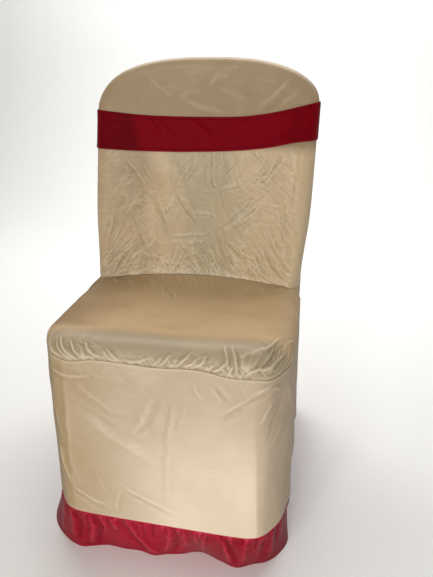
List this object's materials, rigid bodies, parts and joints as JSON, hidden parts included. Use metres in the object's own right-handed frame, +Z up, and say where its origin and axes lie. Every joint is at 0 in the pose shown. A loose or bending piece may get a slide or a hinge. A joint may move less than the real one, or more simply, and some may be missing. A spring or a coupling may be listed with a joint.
{
  "type": "fitted chair cover with sash",
  "caption": "Fitted champagne satin cover for an armless dining chair, with a plain maroon sash band round the back and a maroon border at the hem.",
  "frame": {"origin": "the point under the arched top where the top of the chair's back carries the cover", "axes": "+Z up, +X to the right of someone facing the cover, -Y the way the face of the back looks"},
  "size_m": [0.501, 0.5689, 0.8685],
  "materials": {
    "champagne_satin": "satin",
    "maroon_satin": "satin"
  },
  "bodies": {
    "root": {"back_front_panel": "champagne_satin", "rear_panel": "champagne_satin", "seat_panel": "champagne_satin", "skirt_panel": "champagne_satin", "hem_border": "maroon_satin", "sash_band": "maroon_satin"}
  },
  "joints": []
}
